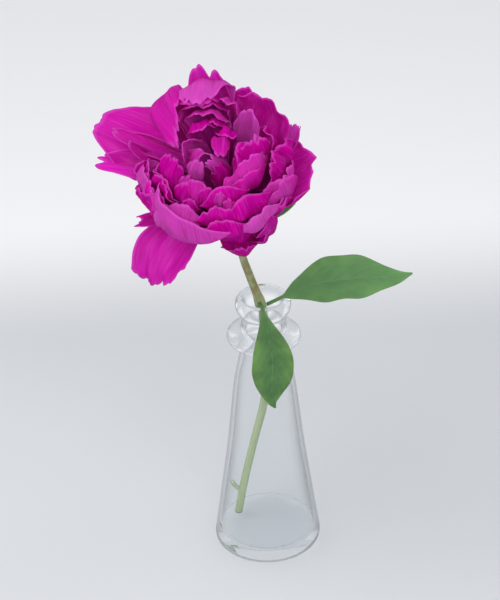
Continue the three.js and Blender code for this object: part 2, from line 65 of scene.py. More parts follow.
# Vase: (radius, height) up the outside, over the lip and down the inside
VASE_FOOT = [(0, 0.8), (20, 0.7), (27, 0)]
VASE_WALL = [
    (30, 0), (32.3, 1.5), (32.7, 4), (31.9, 9), (27.4, 41), (23.3, 71), (18.9, 110), (17, 122),
    (14.8, 133), (13.8, 139), (14.5, 142), (19.5, 143.5), (21.7, 146), (21.3, 149), (18, 151),
    (13.6, 152.5), (13, 157), (13.2, 161), (15.2, 163.5), (16.3, 167), (16, 170.5), (14, 173),
    (12, 172), (10.8, 168), (10.6, 160), (11, 150), (11.6, 139), (13, 130), (16.4, 112),
    (20.8, 71), (25, 41), (29, 12), (27.5, 8.5), (24, 7),
]
VASE_FLOOR = [(0, 7)]
VASE_SMOOTHING = 5
# Points of a spun profile that lie closer than this are one
MERGE_DISTANCE = 0.001
# Light that has met this many faces goes straight on through the glass, so none is trapped in it
TRAPPED_AFTER = 3.5

# Stem: the node that swells it, the heights between which it narrows to a share of its
# thickness, and its route from the cut end on the vase's floor to the bloom
STEM_NODE = {"height": 174, "swell": 0.8, "spread": 5}
STEM_TAPER = {"start": 165, "end": 245, "share": 0.78}
STEM_ROUTE = [
    (-18.4, 12, 7.95), (-13.2, 9.4, 38), (-6.6, 5.6, 70), (-0.4, 1.2, 100), (2.2, -3.4, 135),
    (-0.6, -7.6, 168), (-7.2, -10.8, 193), (-11.2, -14.2, 209), (-15.6, -19.6, 237),
    (-18.8, -25.1, 253),
]
STUB_ROUTE = [(-15.6, 10.8, 25), (-19.5, 10.2, 28.5), (-22.4, 9.6, 33)]
STUB_RADIUS = 1.4
STEM_MESH = {"steps": 150, "sides": 20}
STUB_MESH = {"steps": 12, "sides": 12}
# Steps for each point of a route, when its length is measured
ROUTE_STEPS = 24

# Leaves: the midrib's route, half the blade's width, which way its face looks, the share of the
# route that is stalk, and its tone from dark, 0, to bright, 1, which is painted light: bright
# on the leaves that face up to the light, painted shade on the one that faces forward
PETIOLE_RADIUS = 1.1
LEAVES = {
    "leaf_right": {
        "half_width": 15, "face": (0, -0.42, 0.91), "petiole": 0.13, "belly": 0.9,
        "fold": 0.18, "wave": 1.4, "waves": 3.2, "tone": 0.8,
        "route": [
            (2.2, -7.8, 172), (7.2, -8.4, 174.9), (15.5, -9, 179.6), (22, -9, 182.6),
            (32.7, -9, 185.8), (47, -9, 188), (64, -9, 188.4), (77, -9, 188.8),
            (85.5, -9, 190.9),
        ],
    },
    "leaf_front": {
        "half_width": 11.5, "face": (0.1, -0.93, 0.35), "petiole": 0.1, "belly": 1.1,
        "fold": 0.2, "wave": 1.1, "waves": 3, "tone": 0.1,
        "route": [
            (-2, -12, 175.4), (-0.8, -16, 175.6), (0.4, -20.2, 170.8), (2.2, -23, 161.5),
            (3.8, -24.6, 152), (4.4, -25.6, 143), (3.8, -26, 129), (3.9, -25.8, 117),
            (5.6, -25.2, 112),
        ],
    },
    "leaf_back": {
        "half_width": 10, "face": (0.1, -0.35, 0.93), "petiole": 0.12, "belly": 0.9,
        "fold": 0.2, "wave": 0.6, "waves": 3, "tone": 1,
        "route": [
            (-13.1, -20.2, 237.4), (-5, -25.5, 241.5), (3, -32, 245.6), (11, -36.8, 249.6),
            (18.3, -39.5, 254.5),
        ],
    },
}
SIDE_VEINS = {"count": 9, "slant": 2.4, "depth": 0.3, "sharpness": 26}
MIDRIB = {"depth": 0.35, "sharpness": 160}
LEAF_BUMPS = {"height": 0.3, "across": 6, "along": 14}
LEAF_TIP_POWER = 1.15
STALK_TAPER = 0.6
WAVE_SKEW = 1.4
LEAF_STEPS = 90
LEAF_CELLS = (36, 110)

# Bloom: where its petals meet, and its own frame, whose third axis is the way it faces
SEAT = Vector((-20.4, -29.8, 261.3))
FACING = Vector((-0.16, -0.50, 0.85)).normalized()
RIGHT = (Vector((1, 0, 0)) - FACING * FACING.x).normalized()
BACK = FACING.cross(RIGHT)

# Calyx: the cup's (radius, height) along the bloom's axis, measured from the seat
CALYX_PROFILE = [(0, -8.9), (2.8, -8.9), (4, -7), (5.4, -5.4), (4.6, -4), (0, -4)]
CALYX_TURNS = 32
SEPAL_COUNT = 5
SEPAL_START = 10
SEPAL_CELLS = (16, 24)
SEPAL_RELIEF = 0.4

# What every petal's shape shares. WIDEST, CUP_OPENS_BY and FACE_CENTRE are shares of its length.
# Each notch has its depth, its pitch and its drift by seed, and each bend its height, its pace
# across and along, and its drift
CORNER_POWER = 2.6
NOTCH_POWER = 1.6
NOTCHES = ((1, 0.5, 1.7), (0.5, 1.2, 2.9))
WIDEST = 0.6
OPENING_POWER = 0.9
CUP_AT_BASE = 0.25
CUP_OPENS_BY = 0.4
FACE_CENTRE = 0.45
SIDE_RUFFLE = 0.4
SIDE_PITCH = 1.3
BENDS = ((1, 2.6, 3.1, 1), (0.6, 4.7, -5.3, 2.1))
PLEATS = {"drift": 1.3, "sway": 1.2, "pace": 3, "fading": 0.3}


@dataclass
class Petal:
    """How one petal grows. az is its direction round the bloom's axis, in degrees. r and h are
    the radius and height of its rim's middle, and r0 and h0 those of its base. tip is its slope
    at the rim, away from the axis, and hold is the share of its length that keeps that slope. W
    is half its width. slant draws one end of the rim back, tone runs from deep, 0, to pale, 1,
    and the rest shape its edge, cup and folds."""

    az: float
    r: float
    h: float
    tip: float
    W: float
    r0: float = 3
    h0: float = 0
    hold: float = 0.62
    cup: float = 50
    shift: float = 0
    twist: float = 0
    slant: float = 0
    round: float = 0.3
    claw: float = 0.3
    taper: float = 0.12
    notch: float = 0.1
    teeth: float = 3
    ruffle: float = 1.8
    waves: float = 6
    wob: float = 1.6
    seed: float = 0
    fold: float = 0
    pleat: float = 1.4
    folds: float = 2.5
    # tone is partly the petal's own colour and partly painted light: pale, a painted highlight;
    # deep, painted shade
    tone: float = 0.5

    def turning_point(self):
        """The point that the midline bends round, as (radius, height)."""
        held = self.hold * hypot(self.r - self.r0, self.h - self.h0)
        return self.r - held * sin(radians(self.tip)), self.h - held * cos(radians(self.tip))

    def length(self):
        """The midline's length, as the mean of its chord and its two straight sides."""
        turn_r, turn_h = self.turning_point()
        chord = hypot(self.r - self.r0, self.h - self.h0)
        sides = hypot(turn_r - self.r0, turn_h - self.h0) + self.hold * chord
        return (chord + sides) / 2

    def midline(self, t):
        """Radius and height of the midline's point at t, and of the way that it runs there."""
        turn_r, turn_h = self.turning_point()
        q = 1 - t
        r = q * q * self.r0 + 2 * q * t * turn_r + t * t * self.r
        h = q * q * self.h0 + 2 * q * t * turn_h + t * t * self.h
        along_r = q * (turn_r - self.r0) + t * (self.r - turn_r)
        along_h = q * (turn_h - self.h0) + t * (self.h - turn_h)
        size = hypot(along_r, along_h)
        return r, h, along_r / size, along_h / size


SEPAL = Petal(
    SEPAL_START, 18.4, -16.9, 142, 6, r0=3.4, h0=-5.6, cup=30, round=0.75, claw=0.7, notch=0.04,
    ruffle=0.3, wob=0.3, pleat=0)

# The big outer petals, each as it hangs. A scratch script fitted the fifth row and the eighth to
# the twenty-first to points read from the photo
# Each row's tone is partly painted light: pale rows carry a painted highlight, deep rows painted
# shade
GUARD_PETALS = [
    # Left: the broad one held out level, the torn lobe below it, and the folds that lie on it
    Petal(149, 79, 16, 82, 24, cup=30, notch=0.03, teeth=2, ruffle=1.8, waves=4, wob=3, seed=1,
          round=0.42, fold=2, claw=0.35, pleat=3.5, folds=1.3, tone=0.1),
    Petal(167, 71, 15, 84, 11, cup=40, notch=0.08, teeth=1.6, ruffle=1.2, waves=3, wob=2,
          seed=4.6, fold=2, claw=0.45, pleat=1.6, folds=2, round=0.4, tone=0.4),
    Petal(155, 62, 26, 68, 9, cup=95, notch=0.03, ruffle=1, seed=2.6, round=0.4, pleat=1.2,
          folds=1.5, waves=3, tone=0.1),
    Petal(163, 47, 33, 14, 8, cup=60, notch=0.03, ruffle=0.9, seed=5.1, round=0.5, waves=3,
          tone=0),
    # Back left: folded over the heart
    Petal(121, -3, 45, -88, 12.2, hold=2.16, cup=32, shift=11, slant=0.21, twist=31, round=0.1,
          ruffle=0.8, seed=2.2, pleat=0.8, folds=1.6, notch=0.03, wob=1.6, waves=4, tone=0.6),
    # Top: the upright torn one, and the lobe folded over in front of it
    Petal(92, 46, 52, 8, 13.5, cup=30, notch=0.08, slant=0.06, ruffle=1.2, seed=3.1, wob=1.5,
          pleat=1, round=0.3, teeth=1.8, waves=4, tone=0.6),
    Petal(92, 22, 46, -80, 17, hold=1.15, cup=36, shift=4, notch=0.04, ruffle=1, seed=3.7,
          pleat=0.8, round=0.25, waves=4, tone=0.9),
    # Back right
    Petal(43, 41, 39, -5, 19.3, hold=0.57, cup=28, shift=-2, slant=0.02, twist=7, round=0.11,
          ruffle=0.8, seed=4.2, pleat=0.8, folds=2, notch=0.02, waves=4, tone=0),
    # Right: a narrow one, the broad one below it and an upright one inside it
    Petal(20, 51, 32, 22, 7.8, hold=0.75, cup=46, shift=1, slant=-0.17, twist=14, round=0.09,
          ruffle=0.8, seed=5.7, pleat=1, notch=0.04, waves=3, tone=0.9),
    Petal(-10, 54, 21, 26, 21.3, hold=0.63, cup=44, shift=2, slant=-0.06, twist=3, round=0.13,
          seed=6.1, pleat=1.2, folds=2, notch=0.03, ruffle=1.2, waves=4, tone=0.3),
    Petal(-6, 34, 35, -33, 15.6, hold=0.74, cup=41, twist=-30, seed=6.9, ruffle=1, notch=0.04,
          waves=3, tone=0.5),
    # Front right: standing up round the heart, with a curled one outside it
    Petal(-44, 37, 33, -27, 19.7, hold=0.8, cup=67, shift=9, slant=0.04, twist=-28, round=0.34,
          ruffle=1, seed=7.3, pleat=0.8, folds=2, notch=0.02, waves=4, tone=0.7),
    Petal(-43, 44, 25, 3, 14.2, hold=0.69, cup=43, slant=-0.02, twist=-26, round=0.22, ruffle=1.2,
          seed=7.7, notch=0.03, waves=4, tone=0.6),
    # Low in front
    Petal(-83, 35, 25, -35, 9.8, hold=0.96, cup=59, shift=8, slant=-0.04, twist=-3, round=0.29,
          ruffle=0.8, seed=8.4, pleat=0.8, folds=2, notch=0.03, waves=4, tone=0.2),
    Petal(-63, 39, 26, -23, 9.9, hold=0.96, cup=60, shift=8, slant=-0.06, twist=-15, round=0.26,
          ruffle=1, seed=2.6, pleat=1, folds=2, notch=0.03, waves=4, tone=0.45),
    Petal(-47, 44, 19, -17, 11.3, hold=0.5, cup=43, shift=-6, twist=19, round=0.23, ruffle=1,
          seed=8.9, pleat=1, folds=2, notch=0.03, waves=4, tone=0.6),
    Petal(-76, 47, 11, 2, 12.7, hold=0.68, cup=55, shift=-2, slant=0.04, twist=-13, round=0.24,
          ruffle=1.2, seed=9.4, pleat=1, folds=2, notch=0.04, waves=4, tone=0.1),
    Petal(-53, 46, 13, -1, 11.2, hold=0.66, cup=54, shift=-4, slant=-0.06, twist=12, ruffle=1,
          waves=4, seed=2.3, notch=0.03, pleat=1, folds=2, tone=0.35),
    # Front left: the broad smooth band, a second one that carries it on
    # to the left, and the one that hangs below it
    Petal(-127, 39, 43, -31, 41, hold=0.84, cup=86, twist=-24, notch=0, seed=10.4, round=0.14,
          pleat=0.3, folds=2, ruffle=0.6, wob=1, slant=-0.06, tone=0.85),
    Petal(-167, 36, 34, -45, 17.2, hold=0.71, cup=49, shift=5, twist=7, round=0.09, seed=5.8,
          ruffle=0.6, waves=3, notch=0.02, pleat=0.4, wob=1, tone=0.85),
    Petal(-137, 65, -33, 160, 18.5, hold=0.5, cup=31, shift=5, slant=-0.3, ruffle=1.4,
          notch=0.04, seed=11.4, round=0.16, claw=0.5, pleat=2.4, folds=2, waves=4, tone=0.2),
    # Left, low
    Petal(-155, 53, 6, 60, 8, ruffle=1.2, seed=12.4, pleat=1.5, round=0.5, waves=3, tone=0),
    Petal(-166, 44, 21, 10, 15, ruffle=1.2, seed=12.9, pleat=1.2, notch=0.04, waves=4,
          tone=0.7),
    Petal(178, 42, 27, 2, 12, seed=13.5, ruffle=1.2, round=0.4, notch=0.04, waves=4,
          tone=0.3),
    # Back, low
    Petal(112, 45, 28, 8, 20, cup=55, seed=14.1, notch=0.04, waves=4),
    Petal(68, 46, 28, 10, 20, cup=55, seed=14.9, notch=0.04, waves=4),
]

# Three ways in which a petal of the heart waves
CALM = {"ruffle": 0.9, "waves": 3, "pleat": 0.8, "wob": 1.2}
EVEN = {"ruffle": 1, "waves": 4, "pleat": 1, "wob": 1.2}
LIVELY = {"ruffle": 1.1, "waves": 5, "pleat": 1.2, "wob": 1.2}

# The petals of the heart that show most, each as it lies. A scratch script fitted all these rows
# to points read from the photo
# Each row's tone is partly painted light: pale rows carry a painted highlight, deep rows painted
# shade
HEART_SHAPES = [
    # Front left: a cushion of short crowded ones
    Petal(-160, 29, 36, -39, 12.8, hold=0.46, cup=14, shift=8, round=0.15, seed=3.8, notch=0.03,
          tone=0.3, **EVEN),
    Petal(-150, 16, 40, -59, 8.9, hold=0.77, cup=47, shift=-7, slant=0.07, twist=34, round=0.11,
          seed=3, notch=0.04, tone=0.5, **LIVELY),
    Petal(-132, 16, 38, -61, 5.2, hold=0.72, cup=56, shift=1, slant=0.1, round=0.14, seed=3.2,
          notch=0.05, tone=0.7, **CALM),
    Petal(-125, 19, 38, -57, 8.6, hold=0.82, cup=53, slant=0.13, twist=7, round=0.1, seed=3.3,
          notch=0.02, tone=0.5, **EVEN),
    Petal(-103, 22, 37, -59, 6.5, hold=0.55, cup=62, shift=4, slant=0.04, round=0.18, seed=3.4,
          notch=0.03, tone=0.55, **LIVELY),
    Petal(-87, 26, 37, -59, 4.1, hold=0.42, cup=64, shift=4, slant=-0.05, round=0.18, seed=3.5,
          notch=0.04, tone=0.8, **CALM),
    Petal(-78, 29, 36, -59, 5.1, hold=0.5, cup=73, shift=3, slant=-0.11, twist=-10, round=0.26,
          seed=3.6, notch=0.05, tone=0.7, **EVEN),
    Petal(-114, 29, 35, -55, 5.2, hold=0.47, cup=63, shift=1, slant=0.03, twist=6, round=0.19,
          seed=3.7, notch=0.02, tone=0.6, **LIVELY),
    Petal(-138, 7, 40, -59, 6.6, hold=0.6, cup=64, shift=1, slant=0.11, twist=8, round=0.18,
          seed=4, notch=0.03, tone=0.9, **CALM),
    # Front right: the long ones that sweep across
    Petal(-48, 21, 42, -55, 16.4, hold=0.54, cup=75, shift=6, slant=-0.01, twist=-29, round=0.26,
          seed=4.4, notch=0.04, tone=0.7, **EVEN),
    Petal(-35, 16, 44, -36, 14.4, hold=0.79, shift=13, slant=-0.09, twist=-40, round=0.13,
          seed=3.9, notch=0.05, tone=0.35, **LIVELY),
    Petal(-47, 26, 39, -46, 15.5, hold=0.43, cup=57, shift=1, slant=-0.04, twist=-10, round=0.25,
          seed=1.5, ruffle=1, waves=4, notch=0.03, pleat=0.9, wob=1.2, tone=0.6),
    # Right of the hollow: one that leans back, face up, with a painted highlight in its pale tone
    Petal(43, 29, 43, 8, 8.5, hold=0.75, cup=48, shift=-2, slant=-0.03, twist=13, round=0.16,
          seed=4, notch=0.02, tone=1, **CALM),
    # Back: curved strips, one under the other
    Petal(101, 20, 45, -81, 18.4, hold=0.93, cup=55, shift=-1, slant=-0.07, twist=-10, round=0.26,
          seed=2.2, notch=0.03, tone=0.4, **EVEN),
    Petal(98, 20, 44, -72, 16.3, hold=0.71, cup=54, slant=-0.07, twist=-8, round=0.25, seed=2.3,
          notch=0.04, tone=0.3, **LIVELY),
    Petal(90, 16, 43, -70, 13.4, cup=54, shift=4, slant=-0.05, twist=-8, round=0.25, seed=2.4,
          notch=0.05, tone=0.7, **CALM),
    Petal(106, 8, 42, -74, 10.7, hold=0.7, cup=62, shift=2, slant=-0.07, twist=5, round=0.28,
          seed=2.5, notch=0.02, tone=0.3, **EVEN),
    Petal(69, 24, 45, -54, 9.4, hold=0.58, cup=58, shift=-1, slant=-0.06, twist=-15, round=0.23,
          seed=2.6, notch=0.03, tone=0.7, **LIVELY),
    # Round the hollow and in it
    Petal(146, 13, 41, -21, 9.9, hold=0.52, shift=4, slant=0.06, twist=1, round=0.2, seed=1.3,
          notch=0.04, tone=0.8, **CALM),
    Petal(-17, 2, 40, -27, 7.1, hold=0.6, cup=73, shift=-7, slant=0.02, twist=1, round=0.02,
          seed=1.1, notch=0.05, tone=1, **EVEN),
    Petal(71, 6, 40, -72, 9.4, cup=73, shift=-7, slant=-0.05, twist=7, round=0.28, seed=3.6,
          notch=0.02, tone=0.4, **LIVELY),
    Petal(75, -7, 40, -93, 6.8, hold=0.82, cup=69, shift=-8, slant=-0.02, twist=-4, round=0.15,
          seed=4.8, notch=0.03, tone=0.6, **CALM),
]

# The petals that fill the heart between them: az, r, h, tip and W of each
HEART_PETALS = [
    # Front left
    (-150, 38, 33, -50, 17), (-126, 38, 33, -54, 16), (-104, 38, 32, -52, 17),
    (-140, 33, 35, -60, 14), (-117, 33, 35, -60, 16), (-160, 32, 36, -52, 14),
    (-152, 26, 38, -62, 14), (-172, 33, 34, -42, 14),
    # Front right
    (-82, 38, 32, -52, 17), (-58, 40, 31, -54, 19), (-86, 32, 35, -60, 16),
    (-62, 33, 36, -58, 19), (-30, 38, 34, -46, 18), (-76, 23, 39, -66, 16),
    (-12, 32, 38, -48, 15), (-112, 18, 39, -66, 14),
    # Right of the hollow
    (20, 31, 37, -24, 12), (0, 22, 39, -50, 13), (-18, 12, 39, -58, 12),
    # Back, and the hollow itself
    (92, 12, 39, -72, 13), (-165, 3, 38, -70, 8), (-60, 6, 35, -34, 7),
]

# Fine relief that the flower's petals share
FRILL = {"height": 0.5, "waves": 17, "drift": 3, "power": 8}
CRUMPLE = {"height": 1.5, "across": 0.16, "along": 0.1, "drift": 7}
RIBS = {"height": 0.09, "pitch": 1.7, "sway": 4}

# Shades that go with the settings' colours
# Deep magenta for petals of a low tone: their own colour and partly painted shade
RICH_PETAL_AND_SHADE = (0.6, 0, 0.34, 1)
PETAL_STREAK = (0.55, 0, 0.25, 1)
# Painted shade towards each petal's base, deep in the bloom
BASE_PAINTED_SHADE = (0.5, 0, 0.2, 1)
LEAF_MARGIN = (0.19, 0.38, 0.09, 1)
# Painted light: the brighter green of the leaves that face up
PAINTED_LIGHT_LEAF = (0.2, 0.46, 0.17, 1)
LEAF_VEIN = (0.23, 0.38, 0.17, 1)
PALE_STEM = (0.4, 0.46, 0.36, 1)
STEM_FLUSH = (0.2, 0.12, 0.04, 1)
PASSED_LIGHT = (0.93, 0.94, 0.945, 1)
FAR_FLOOR = (0.93, 0.92, 0.92, 1)
WHITE = (1, 1, 1, 1)
SKY_COLOUR = (0.94, 0.96, 1, 1)

# How far apart in the noise petals lie whose tones differ by one
PATTERN_SHIFT = 40.0

# Stage: the floor, the lamps, and the camera with its lens and its roll in degrees
FLOOR = {"radius": 2.5, "sides": 96}
LAMPS = {
    "key": {"size": 0.8, "place": (-0.5, -0.35, 1.05)},
    "fill": {"size": 0.7, "place": (0.25, -1.0, 0.9)},
}
LAMP_AIM = (0, 0, 0.25)
CAMERA_PLACE = (-0.0075, -0.8695, 0.6993)
CAMERA_AIM = (-0.0075, 0, 0.1706)
CAMERA_LENS = 105.3
CAMERA_ROLL = -1.5


class PeonyVaseSettings(PropertyGroup):
    turns: IntProperty(
        name="Turns", description="Faces round the vase", default=112, min=24, max=256)
    tint: FloatVectorProperty(
        name="Tint", description="Colour of the clear glass", subtype="COLOR", size=4,
        min=0, max=1, default=(0.97, 0.98, 0.985, 1))
    # Painted reflection: the grey that the glass is drawn towards where it is seen edge on
    edge: FloatVectorProperty(
        name="Edge", description="Greyer colour of the glass where it is seen edge on",
        subtype="COLOR", size=4, min=0, max=1, default=(0.2, 0.21, 0.23, 1))


class PeonyGreenSettings(PropertyGroup):
    stem_radius: FloatProperty(
        name="Stem radius", description="Half the stem's thickness", subtype="DISTANCE",
        unit="LENGTH", default=0.0025, min=0.001, max=0.006)
    leaf_thickness: FloatProperty(
        name="Leaf thickness", description="Thickness of a leaf's blade", subtype="DISTANCE",
        unit="LENGTH", default=0.0006, min=0.0002, max=0.002)
    stem_colour: FloatVectorProperty(
        name="Stem", description="The stem's pale green", subtype="COLOR", size=4,
        min=0, max=1, default=(0.245, 0.31, 0.135, 1))
    leaf_colour: FloatVectorProperty(
        name="Leaf", description="The leaves' main green", subtype="COLOR", size=4,
        min=0, max=1, default=(0.11, 0.27, 0.085, 1))


class PeonyBloomSettings(PropertyGroup):
    thickness: FloatProperty(
        name="Petal thickness", description="Thickness of every petal", subtype="DISTANCE",
        unit="LENGTH", default=0.0004, min=0.0002, max=0.001)
    guard_cells: IntProperty(
        name="Outer grid", description="Cells along each side of an outer petal", default=36,
        min=8, max=60)
    heart_cells: IntProperty(
        name="Heart grid", description="Cells along each side of a heart petal", default=28,
        min=8, max=48)
    inside: FloatVectorProperty(
        name="Inside", description="The petals' inner face", subtype="COLOR", size=4,
        min=0, max=1, default=(0.9, 0.0, 0.6, 1))
    outside: FloatVectorProperty(
        name="Outside", description="The petals' paler outer face", subtype="COLOR", size=4,
        min=0, max=1, default=(0.8, 0.012, 0.62, 1))
    # Pale carries real pale veins and patches, and also the painted highlight on the rims and on
    # petals of a pale tone
    pale: FloatVectorProperty(
        name="Pale", description="Rims and faded places", subtype="COLOR", size=4,
        min=0, max=1, default=(0.86, 0.17, 0.78, 1))


class PeonyStageSettings(PropertyGroup):
    floor: FloatVectorProperty(
        name="Floor", description="The floor near the vase", subtype="COLOR", size=4,
        min=0, max=1, default=(0.6, 0.615, 0.63, 1))
    sky: FloatProperty(
        name="Sky", description="Strength of the even light from all round", default=0.72,
        min=0, max=4)
    key_power: FloatProperty(
        name="Key", description="Power of the soft lamp above the left", unit="POWER",
        default=6, min=0, max=100)
    fill_power: FloatProperty(
        name="Fill", description="Power of the soft lamp in front", unit="POWER", default=5,
        min=0, max=100)


def feed(tree, node, inputs):
    """Gives each named input of a node its value, or links it to a socket."""
    for name, value in inputs.items():
        if isinstance(value, bpy.types.NodeSocket):
            tree.links.new(value, node.inputs[name])
        else:
            node.inputs[name].default_value = value


def add_node(tree, kind, inputs=None, **settings):
    """A new node, with its settings, and its inputs fed."""
    node = tree.nodes.new(kind)
    for name, value in settings.items():
        setattr(node, name, value)
    feed(tree, node, inputs or {})
    return node


def attribute(tree, name, part="Fac"):
    return add_node(tree, "ShaderNodeAttribute", attribute_name=name).outputs[part]


def components(tree, vector):
    return add_node(tree, "ShaderNodeSeparateXYZ", {0: vector}).outputs


def scaled(colour, share):
    return (*(part * share for part in colour[:3]), 1)


def mix_colours(tree, share, first, second):
    inputs = {0: share, 6: first, 7: second}
    return add_node(tree, "ShaderNodeMix", inputs, data_type="RGBA").outputs[2]


def calculate(tree, operation, first, second=0.0):
    return add_node(tree, "ShaderNodeMath", {0: first, 1: second}, operation=operation).outputs[0]


def fade(tree, value, start, end, most=1.0):
    """0 where value is start, most where it is end, and between the two smoothly."""
    inputs = {"Value": value, "From Min": start, "From Max": end, "To Max": most}
    return add_node(tree, "ShaderNodeMapRange", inputs, interpolation_type="SMOOTHSTEP").outputs[0]


def from_middle(tree, value):
    """How far a value that runs from 0 to 1 is from its middle."""
    return calculate(tree, "ABSOLUTE", calculate(tree, "SUBTRACT", value, 0.5))


def grain(tree, vector, scale=1.0, detail=2.0):
    inputs = {"Vector": vector, "Scale": scale, "Detail": detail}
    return add_node(tree, "ShaderNodeTexNoise", inputs).outputs[0]


def stretched(tree, vector, scale):
    inputs = {"Vector": vector, "Scale": scale}
    return add_node(tree, "ShaderNodeMapping", inputs).outputs[0]


def bump(tree, height, strength, distance, **under):
    """A normal with fine relief, on top of the normal under it where one is given."""
    inputs = {"Height": height, "Strength": strength, "Distance": distance, **under}
    return add_node(tree, "ShaderNodeBump", inputs).outputs[0]


def mottling_group():
    """Soft patches, 0 to 1: tissue, and a floor, are never one even colour."""
    name = "Mottling"
    if name in bpy.data.node_groups:
        return bpy.data.node_groups[name]
    group = bpy.data.node_groups.new(name, "ShaderNodeTree")
    group.interface.new_socket("Vector", in_out="INPUT", socket_type="NodeSocketVector")
    for socket in ("Scale", "Detail", "Low", "High"):
        group.interface.new_socket(socket, in_out="INPUT", socket_type="NodeSocketFloat")
    group.interface.new_socket("Patches", in_out="OUTPUT", socket_type="NodeSocketFloat")
    given = group.nodes.new("NodeGroupInput").outputs
    noisy = grain(group, given["Vector"], given["Scale"], given["Detail"])
    patches = fade(group, noisy, given["Low"], given["High"])
    feed(group, group.nodes.new("NodeGroupOutput"), {"Patches": patches})
    return group


def mottling(tree, vector, scale, low=0.35, high=0.65, detail=2.0):
    inputs = {"Vector": vector, "Scale": scale, "Low": low, "High": high, "Detail": detail}
    return add_node(tree, "ShaderNodeGroup", inputs, node_tree=mottling_group()).outputs["Patches"]


def show_both(tree, share, surface, other):
    """What the material shows: its surface, with a share of another shader."""
    inputs = {0: share, 1: surface.outputs[0], 2: other.outputs[0]}
    both = add_node(tree, "ShaderNodeMixShader", inputs).outputs[0]
    feed(tree, tree.nodes["Material Output"], {"Surface": both})


def let_light_through(tree, surface, colour, share):
    """Thin tissue: part of the light that falls on one face comes out of the other."""
    glow = add_node(tree, "ShaderNodeBsdfTranslucent", {"Color": colour})
    show_both(tree, share, surface, glow)


def petal_tissue(tree, surface, settings):
    """Magenta tissue, veined, mottled and paler outside, with a painted highlight on the rim and
    painted shade at the base.
    """
    place = add_node(tree, "ShaderNodeUVMap", uv_map="UVMap").outputs[0]
    across, along, _ = components(tree, place)
    tone = attribute(tree, "tone")
    shift = {"Z": calculate(tree, "MULTIPLY", tone, PATTERN_SHIFT)}
    own = add_node(tree, "ShaderNodeCombineXYZ", shift).outputs[0]
    apart = add_node(tree, "ShaderNodeVectorMath", {0: place, 1: own}).outputs[0]
    veins = grain(tree, stretched(tree, apart, (60, 3.2, 1)), detail=3.0)
    patches = mottling(tree, stretched(tree, apart, (5, 2.2, 1)), scale=1.0, high=0.7)
    inner = mix_colours(tree, patches, scaled(settings.inside, 0.8), settings.inside)
    blotches = calculate(tree, "MULTIPLY", patches, 0.3)
    outer = mix_colours(tree, blotches, settings.outside, settings.pale)
    colour = mix_colours(tree, attribute(tree, "inner_face"), outer, inner)
    # Painted highlight: the petal's sides and end are drawn towards pale along the rim
    rim = calculate(
        tree, "MAXIMUM", fade(tree, from_middle(tree, across), start=0.465, end=0.5, most=0.5),
        fade(tree, along, start=0.96, end=1.0, most=0.5))
    for share, shade in (
        # Partly painted highlight: petals of a pale tone are drawn towards pale
        (fade(tree, tone, start=0.5, end=1.0, most=0.7), settings.pale),
        # Partly painted shade: petals of a deep tone are drawn towards a darker magenta
        (fade(tree, tone, start=0.5, end=0.0, most=0.4), RICH_PETAL_AND_SHADE),
        (fade(tree, veins, start=0.5, end=0.68, most=0.3), PETAL_STREAK),
        (fade(tree, veins, start=0.46, end=0.34, most=0.24), settings.pale),
        # Painted shade towards the base, deep in the bloom
        (fade(tree, along, start=0.45, end=0.1, most=0.4), BASE_PAINTED_SHADE),
        # Painted highlight along the rim
        (rim, settings.pale),
    ):
        colour = mix_colours(tree, share, colour, shade)
    dents = grain(tree, stretched(tree, apart, (9, 5, 1)), detail=3.0)
    dented = bump(tree, dents, strength=0.6, distance=0.003)
    feed(tree, surface, {
        "Base Color": colour, "Roughness": 0.5, "Specular IOR Level": 0.06,
        "Normal": bump(tree, veins, strength=0.3, distance=0.0005, Normal=dented)})
    let_light_through(tree, surface, colour, 0.55)


def leaf_tissue(tree, surface, settings):
    """Leaf green: yellower margin, darker patches, paler veins, and painted light from the tone.
    """
    place = add_node(tree, "ShaderNodeUVMap", uv_map="UVMap").outputs[0]
    across, along, _ = components(tree, place)
    across = from_middle(tree, across)
    objects = add_node(tree, "ShaderNodeTexCoord").outputs["Object"]
    steps = calculate(tree, "MULTIPLY", along, float(SIDE_VEINS["count"]))
    slant = calculate(tree, "MULTIPLY", across, 2 * SIDE_VEINS["slant"])
    near = calculate(tree, "PINGPONG", calculate(tree, "SUBTRACT", steps, slant), 0.5)
    veins = calculate(
        tree, "MAXIMUM", fade(tree, near, start=0.09, end=0.0, most=0.35),
        fade(tree, across, start=0.03, end=0.0, most=0.6))
    patches = mottling(tree, objects, scale=90.0, low=0.3, high=0.7)
    colour = settings.leaf_colour
    for share, shade in (
        (fade(tree, across, start=0.1, end=0.5), LEAF_MARGIN),
        (calculate(tree, "MULTIPLY", patches, 0.7), scaled(settings.leaf_colour, 0.62)),
        # Painted light: leaves of a high tone, those that face up, are drawn towards a brighter
        # green
        (calculate(tree, "MULTIPLY", attribute(tree, "tone"), 0.6), PAINTED_LIGHT_LEAF),
        (veins, LEAF_VEIN),
    ):
        colour = mix_colours(tree, share, colour, shade)
    pores = grain(tree, objects, scale=1400.0)
    feed(tree, surface, {
        "Base Color": colour, "Roughness": 0.42, "Specular IOR Level": 0.35,
        "Normal": bump(tree, pores, strength=0.25, distance=0.0002)})
    let_light_through(tree, surface, colour, 0.3)


